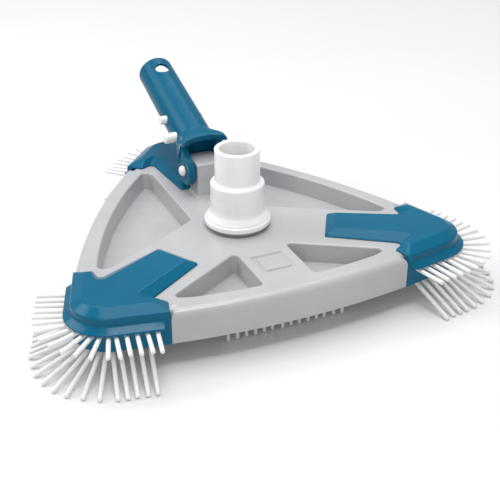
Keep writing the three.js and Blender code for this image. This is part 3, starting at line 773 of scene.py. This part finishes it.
def corner_cap():
    build = Builder()
    base_z = 0.3
    base_half, face_half = cap_half(False), cap_half(True)
    # one more point on the wing's end, where the skirt's inner face starts
    inner_end = corner_point(WING_END, SKIRT_INNER)
    base_half.insert(-1, inner_end)
    face_half.insert(-1, lerp(face_half[-2], face_half[-1], 0.6))
    wall_points = cap_wall(CORNER_RADIUS)
    base = [*base_half, *wall_points, *mirror_points(base_half)]
    face = [*face_half, *cap_face_wall(16.4), *mirror_points(face_half)]
    step = [lerp(a, b, 0.05) for a, b in zip(base, face)]
    rings = [at(base, base_z), at(step, 1.25), at(face, CAP_TOP), at(offset(face, -1.1), CAP_TOP)]
    bottom = build.stack(fillet_rings(rings, [0, 0.5, 0.9, 0], 4), close_high=True)[0]

    # outer face of the skirt with its ledge, from the plate's edge down
    first = len(base_half) - 1
    last = first + len(wall_points) + 1
    top_outer = bottom[first:last + 1]
    wall = CORNER_RADIUS
    profile = [[tuple(vert.co) for vert in top_outer]]
    profile += [skirt_line(out, end_out, z) for out, end_out, z in (
        (wall, wall, -4.3), (LEDGE_OUT, wall, -7.5), (LEDGE_OUT, wall, -8.5), (wall, wall, -8.9),
        (wall, wall, WALL_BOTTOM), (wall - 1.5, wall - 1.5, WALL_BOTTOM))]
    lines = fillet_rings(profile, [0, 0.7, 0.45, 0.4, 0.4, 0.6, 0], 4)
    made_lines = [top_outer] + [build.ring(line) for line in lines[1:]]
    for low, high in zip(made_lines, made_lines[1:]):
        build.skin(high, low, closed=False)

    # inner face, the two wing ends, and the underside of the raised plate
    inner_plan = [inner_end, *cap_wall(SKIRT_INNER), *mirror_points([inner_end])]
    inner_low = build.ring(at(inner_plan, WALL_BOTTOM))
    inner_high = build.ring(at(inner_plan, base_z))
    build.skin(made_lines[-1], inner_low, closed=False)
    build.skin(inner_low, inner_high, closed=False)
    for end in (0, -1):
        build.face([line[end] for line in made_lines] + [inner_low[end], inner_high[end]])
    build.face([*bottom[last + 1:], *bottom[:first], *inner_high])
    return build.finish("corner_cap", merge=2e-3)


cap_mesh = corner_cap()
for name, turn in CORNERS.items():
    copy = new_object(f"{name}_corner_cap_look", cap_mesh.data.copy())
    piece(copy, BLUE, "head", [f"{name}_corner_cap"], turn=turn, angle=30)
bpy.data.objects.remove(cap_mesh)

# ---------------------------------------------------------------- spigot


def spigot():
    """One line of (radius, z) round the wall: up the outside from the bottom, and down the bore."""
    sharp = [
        (12.5, -12.6), (15.1, -12.6), (15.1, 3.4), (23.6, 3.4), (23.6, 6.6), (22.7, 7.3), (22.4, 8.5),
        (19.7, 12.6), (19.2, 15.2), (19.2, 33.6), (16.0, 35.2), (16.0, 58.9), (12.5, 58.9), (12.5, 30),
        (12.5, -12.6)]
    reaches = [0, 0.5, 0.4, 0.5, 0.45, 0.35, 0.45, 0.9, 0.6, 1.0, 0.7, 0.9, 0.8, 0, 0]
    made = turned(fillet_line(sharp, reaches, 6), 96).finish("spigot_look", merge=1e-3)
    made.data.transform(Matrix.Translation((0, SPIGOT_Y, 0)))
    return made


piece(spigot(), WHITE, "spigot_body", ["spigot"], angle=60)


def ring_piece(name, inner, outer, low, high, reach):
    """A flat ring round the spigot's axis, with rounded edges."""
    middle = (inner + outer) / 2
    sharp = [(middle, low), (outer, low), (outer, high), (inner, high), (inner, low), (middle, low)]
    line = fillet_line(sharp, [0, reach, reach, reach, reach, 0], 5)
    made = turned(line, 80).finish(name, merge=1e-3)
    made.data.transform(Matrix.Translation((0, SPIGOT_Y, 0)))
    return made


piece(ring_piece("spigot_seal_look", 16.9, 21.5, 0.15, 3.1, 1.2), RUBBER, "head", ["spigot_seal"])
piece(ring_piece("spigot_retainer_look", 15.3, 18.7, -12.4, -9.3, 0.5), WHITE, "spigot_body",
      ["spigot_retainer"])

# ---------------------------------------------------------------- handle


def tube_point(along, above):
    """Y and Z of a point in the tube's middle plane."""
    return (TUBE_BASE[0] + along * math.cos(LEAN) - above * math.sin(LEAN),
            TUBE_BASE[1] + along * math.sin(LEAN) + above * math.cos(LEAN))


def tube_frame(along=0.0):
    """+Z along the tube, +X across, +Y to its underside."""
    y, z = tube_point(along, 0)
    c, s = math.cos(LEAN), math.sin(LEAN)
    return Matrix(((1, 0, 0, 0), (0, s, c, y), (0, -c, s, z), (0, 0, 0, 1)))


def side_plate(name, outline, x0, x1, reach=0.8):
    """A plate across X from a side view outline, with rounded rims on both faces."""
    build = Builder()
    points = rounded(outline, 6)
    rings = []
    for x, inset in ((x0, reach), (x0 + reach * 0.3, reach * 0.3), (x0 + reach, 0), (x1 - reach, 0),
                     (x1 - reach * 0.3, reach * 0.3), (x1, reach)):
        rings.append([(x, y, z) for y, z in offset(points, -inset)])
    build.stack(rings, close_low=True, close_high=True)
    return build.finish(name)


def solid_block(name, low, high):
    build = Builder()
    corners = [(low[0], low[1]), (high[0], low[1]), (high[0], high[1]), (low[0], high[1])]
    build.stack([at(corners, low[2]), at(corners, high[2])], close_low=True, close_high=True)
    return build.finish(name)


def hood():
    """The tube's flared end: it widens to a rounded rectangle with a visor over the pivot block."""
    half, over, under = HOOD_HALF_WIDTH, -HOOD_TOP, -HOOD_UNDERSIDE
    front = rounded([(half, under, 4), (-half, under, 4), (-half, over, 4), (half, over, 4)], 8)
    front = subdivided(front, 1.2)
    start = 0.99 * TUBE_LOW          # just inside the tube, so that the two surfaces run into each other
    back = []
    for x, y in front:
        angle = math.atan2(y + HOOD_MIDDLE, x * 0.84)
        back.append((start * math.cos(angle), start * math.sin(angle)))
    rings = []
    steps = 16
    for i in range(steps + 1):
        t = i / steps
        x = min(1.0, t / 0.8)        # full width at 0.8 of the length
        share = 3 * x * x - 2 * x ** 3
        along = HOOD_START + (VISOR_FRONT - HOOD_START) * t
        rings.append(at([lerp(a, b, share) for a, b in zip(back, front)], along))
    build = Builder()
    build.stack(rings[::-1], close_low=True, close_high=True)
    made = build.finish("hood")
    made.data.transform(tube_frame())

    # the visor's curved rim, then the open underside, the gap between the ears, and room for the block
    hollow = rod("hollow", VISOR_HOLLOW_RADIUS, -40, 40, 160)
    upright = Matrix.Rotation(math.pi / 2, 4, "X")
    hollow.data.transform(tube_frame(VISOR_MIDDLE - VISOR_HOLLOW_RADIUS) @ upright)
    boolean(made, hollow, "DIFFERENCE")
    open_side = [(20, 0, 0), (71.6, 0, 0), (71.6, 17.63, 0), (66, 30, 3), (64, 36.7, 2.5), (54, 40, 0),
                 (20, 40, 0)]
    boolean(made, side_plate("open_side", open_side, -40, 40, 0), "DIFFERENCE")
    gap = EAR_INNER - 0.07
    inside = solid_block("inside", (-gap, -12.5, VISOR_FRONT - 6), (gap, 12, -37))
    inside.data.transform(tube_frame())
    boolean(made, inside, "DIFFERENCE")
    room = EAR_INNER - 0.04
    clearance = rod("clearance", BLOCK_ROOM, -room, room, 90)
    clearance.data.transform(along_x(0, *PIVOT))
    boolean(made, clearance, "DIFFERENCE")
    return made


def handle():
    outer = [(0, TUBE_START), (TUBE_LOW, TUBE_START), (TUBE_HIGH, TUBE_END), (0, TUBE_END)]
    tube = turned(fillet_line(outer, [0, 0, 1.0, 0], 5), 96).finish("handle_look", merge=1e-3)
    tube.data.transform(tube_frame())
    boolean(tube, hood(), "UNION")

    # the bore is turned a little, so that no seam of it lies on one of the tube's
    bore = rod("bore", TUBE_BORE, BORE_START, TUBE_END + 5, 90)
    bore.data.transform(tube_frame() @ Matrix.Rotation(0.01, 4, "Z"))
    boolean(tube, bore, "DIFFERENCE")
    hole_along, hole_radius = HANGING_HOLE
    hole = rod("hole", hole_radius, -30, 30, 62)
    hole.data.transform(tube_frame(hole_along) @ Matrix.Rotation(math.pi / 2, 4, "X"))
    boolean(tube, hole, "DIFFERENCE")
    for along, above, radius, *_ in (SMALL_BUTTON, PRESS_BUTTON):
        drill_along_x(tube, radius + BUTTON_CLEARANCE, tube_point(along, above))

    # each ear is round in front of the pin, has a neck up into the hood, and a heel just over the cap
    angles = [math.radians(92 + 178 * i / 30) for i in range(31)]
    disc = [(PIVOT[0] + EAR_RADIUS * math.cos(a), PIVOT[1] + EAR_RADIUS * math.sin(a), 0) for a in angles]
    outline = [*disc, (68.5, 7.4, 2), (72.6, 8.6, 2.0), (72, 17.2, 0), (76.6, 20.4, 0), (74, 38.0, 0),
               (64, 36.7, 2)]
    heel = [(68.5, CAP_TOP + 0.5, 0.6), (72.4, CAP_TOP + 0.5, 0.6), (72.5, 9.5, 0), (68.6, 9.5, 0)]
    for side in (-1, 1):
        ear = side_plate("ear", outline, *sorted((side * EAR_INNER, side * (EAR_OUTER - 0.03))))
        heel_range = sorted((side * EAR_INNER + side * 0.05, side * 13.3))
        boolean(ear, side_plate("heel", heel, *heel_range, 0.3), "UNION")
        drill_along_x(ear, PIN_HOLE_RADIUS, PIVOT)
        boolean(tube, ear, "UNION")
    soften(tube, 0.45)
    return tube


def soften(thing, width):
    """Cleans small slivers left by the cuts and rounds every remaining sharp edge."""
    mesh = bmesh.new()
    mesh.from_mesh(thing.data)
    bmesh.ops.remove_doubles(mesh, verts=mesh.verts, dist=0.03)
    bmesh.ops.dissolve_degenerate(mesh, edges=mesh.edges, dist=0.03)
    bmesh.ops.dissolve_limit(mesh, angle_limit=math.radians(0.6), verts=mesh.verts, edges=mesh.edges)
    mesh.to_mesh(thing.data)
    mesh.free()
    bevel = thing.modifiers.new("soft_edges", "BEVEL")
    bevel.width = width
    bevel.segments = 3
    bevel.limit_method = "ANGLE"
    bevel.angle_limit = math.radians(35)
    bevel.use_clamp_overlap = False
    apply_modifiers(thing)


piece(handle(), HANDLE_BLUE, "handle_body", ["handle"], angle=32)


def dome(name, side):
    """A domed head just outside an ear, on the left for -1 or on the right for 1."""
    start = EAR_OUTER + 0.3
    sharp = [(0, start), (3.9, start), (3.9, start + 1.3), (3.1, start + 3.0), (1.6, start + 3.6),
             (0, start + 3.7)]
    line = fillet_line(sharp, [0, 0.2, 0.9, 1.0, 0.9, 0], 5)
    made = turned(line, 40).finish(name, merge=1e-3)
    made.data.transform(along_x(0, *PIVOT))
    if side < 0:
        made.data.transform(Matrix.Scale(-1, 4, (1, 0, 0)))
        made.data.flip_normals()
    return made


def pivot_pin():
    made = dome("pivot_pin_look", -1)
    tip = EAR_OUTER + 1.2
    shaft = turned([(0, -tip), (3, -tip), (3, tip - 0.3), (2.6, tip), (0, tip)], 40).finish("shaft")
    shaft.data.transform(along_x(0, *PIVOT))
    boolean(made, shaft, "UNION")
    return made


piece(pivot_pin(), CLIP_WHITE, "handle_body", ["pivot_pin"])
piece(dome("pivot_pin_cap_look", 1), CLIP_WHITE, "handle_body", ["pivot_pin_cap"])


def clip_arm(side):
    """A flat spring arm with its two buttons, which stick out through the tube."""
    build = Builder()
    x0, x1 = sorted((side * ARM_INNER, side * ARM_OUTER))
    y0, y1 = -ARM_ABOVE - ARM_HALF, -ARM_ABOVE + ARM_HALF
    plan = rounded([(x0, y0, 0.5), (x1, y0, 0.5), (x1, y1, 0.5), (x0, y1, 0.5)], 3)
    build.stack([at(offset(plan, -0.4), ARM_START), at(plan, ARM_START + 0.5), at(plan, CLIP_TOP)],
                close_low=True, close_high=True)
    arm = build.finish("clip_arm")
    arm.data.transform(tube_frame())
    for along, above, radius, left_reach, right_reach, soft in (SMALL_BUTTON, PRESS_BUTTON):
        reach = left_reach if side < 0 else right_reach
        line = fillet_line([(0, 8.4), (radius, 8.4), (radius, reach), (0, reach)], [0, 0, soft, 0], 7)
        button = turned(line, 40).finish("button", merge=1e-3)
        if side < 0:
            button.data.transform(Matrix.Rotation(math.pi, 4, "X"))
        button.data.transform(along_x(0, *tube_point(along, above)))
        boolean(arm, button, "UNION")
    return arm


for name, side in (("left", -1), ("right", 1)):
    arm = clip_arm(side)
    arm.name = f"clip_arm_{name}_look"
    piece(arm, CLIP_WHITE, f"clip_{name}", [f"clip_arm_{name}"], angle=40)


def clip_bend():
    """The flattened half loop that joins the two arms."""
    build = Builder()
    y0, y1 = -ARM_ABOVE - ARM_HALF, -ARM_ABOVE + ARM_HALF
    section = ((ARM_INNER, y0), (ARM_OUTER, y0), (ARM_OUTER, y1), (ARM_INNER, y1))
    steps = 24
    rings = []
    for i in range(steps + 1):
        angle = math.pi * i / steps
        c, s = math.cos(angle), math.sin(angle) * 0.8
        rings.append([(radius * c, y, CLIP_TOP + 0.3 + radius * s) for radius, y in section])
    build.stack(rings, close_low=True, close_high=True)
    made = build.finish("clip_bend_look")
    made.data.transform(tube_frame())
    return made


piece(clip_bend(), CLIP_WHITE, "handle_body", ["clip_bend"], angle=40)

# ---------------------------------------------------------------- screws


def screw_mesh(head_low, head_high, shaft_top):
    """A screw with its head down and a cross in it."""
    sharp = [(0, head_low), (2.1, head_low), (2.6, head_low + 0.7), (2.6, head_high), (1.3, head_high),
             (1.3, shaft_top), (0, shaft_top + 0.8)]
    line = fillet_line(sharp, [0, 0.5, 0.4, 0.1, 0, 0, 0], 4)
    made = turned(line, 32).finish("screw", merge=1e-3)
    for turn in (20, 110):
        cross = solid_block("cross", (-1.5, -0.32, head_low - 1), (1.5, 0.32, head_low + 1.1))
        cross.data.transform(turn_z(turn))
        boolean(made, cross, "DIFFERENCE")
    return made


SCREWS = {
    "cap": screw_mesh(STRIP_BOTTOM - 2.2, STRIP_BOTTOM - 0.3, 2.2),
    "strip": screw_mesh(STRIP_BOTTOM - 2.2, STRIP_BOTTOM - 0.3, -17.2),
    "plate": screw_mesh(WALL_BOTTOM - 2.2, WALL_BOTTOM - 0.3, -8),
}
for name, (x, y) in screw_places():
    kind = next(key for key in SCREWS if f"_{key}_" in name)
    copy = new_object(f"{name}_look", SCREWS[kind].data.copy())
    copy.data.transform(Matrix.Translation((x, y, 0)))
    piece(copy, STEEL, "head", [name], angle=40)
for source in SCREWS.values():
    bpy.data.objects.remove(source)

# the hidden ballast keeps its CAD mesh
for name in CORNERS:
    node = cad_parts[f"{name}_ballast"]
    node.data.materials.clear()
    node.data.materials.append(IRON)

# ---------------------------------------------------------------- floor, light and camera


def floor():
    build = Builder()
    half = 3000
    build.face(build.ring([(-half, -half, 0), (half, -half, 0), (half, half, 0), (-half, half, 0)]))
    made = build.finish("floor")
    made.data.transform(Matrix.Scale(MM, 4))
    material, tree, shader, where = shader_tree("floor_white")
    drift = noise(tree, 3, 2, 0.5, where)
    tone = ramp(tree, drift, [(0.3, (0.765, 0.765, 0.765)), (0.7, (0.785, 0.785, 0.785))])
    tree.links.new(tone, shader.inputs["Base Color"])
    shader.inputs["Roughness"].default_value = 0.25
    made.data.materials.append(material)


def area_light(name, place, target, size, power):
    data = bpy.data.lights.new(name, "AREA")
    data.shape = "RECTANGLE"
    data.size, data.size_y = size
    data.energy = power
    lamp = new_object(name, data)
    lamp.location = place
    lamp.rotation_euler = (Vector(target) - Vector(place)).to_track_quat("-Z", "Y").to_euler()


def camera():
    azimuth, elevation, reach = math.radians(-24.11), math.radians(28.81), 0.6874
    target = Vector((-7.95 * MM, -43.3 * MM + ORIGIN_Y, ORIGIN_Z))
    back = Vector((math.sin(azimuth) * math.cos(elevation), -math.cos(azimuth) * math.cos(elevation),
                   math.sin(elevation)))
    data = bpy.data.cameras.new("camera")
    data.sensor_fit = "HORIZONTAL"
    data.sensor_width = 36.0
    data.lens = 72.3
    data.clip_start = 0.01
    made = new_object("camera", data)
    made.location = target + back * reach
    made.rotation_euler = (-back).to_track_quat("-Z", "Y").to_euler()
    bpy.context.scene.camera = made


floor()
area_light("top_softbox", (0.1, 0.3, 1.8), (0.1, 0.3, 0), (1.2, 1.2), 16)
area_light("ledge_softbox", (0.03, -0.5, 1.8), (0, 0, 0), (0.8, 0.26), 8)
area_light("rim_strip", (0.4, 1.2, 1.5), (0, 0, 0), (1.2, 0.2), 4)
area_light("key_softbox", (-1.2, 0.9, 1.3), (0, 0, 0), (1.0, 1.0), 13)
area_light("front_fill", (-0.9, -1.6, 0.7), (0, 0, 0.05), (1.0, 0.8), 6)
world = bpy.data.worlds.new("studio")
world.use_nodes = True
world.node_tree.nodes["Background"].inputs["Color"].default_value = (1, 1, 1, 1)
world.node_tree.nodes["Background"].inputs["Strength"].default_value = 0.48
bpy.context.scene.world = world
bpy.context.scene.view_settings.view_transform = "Standard"
camera()
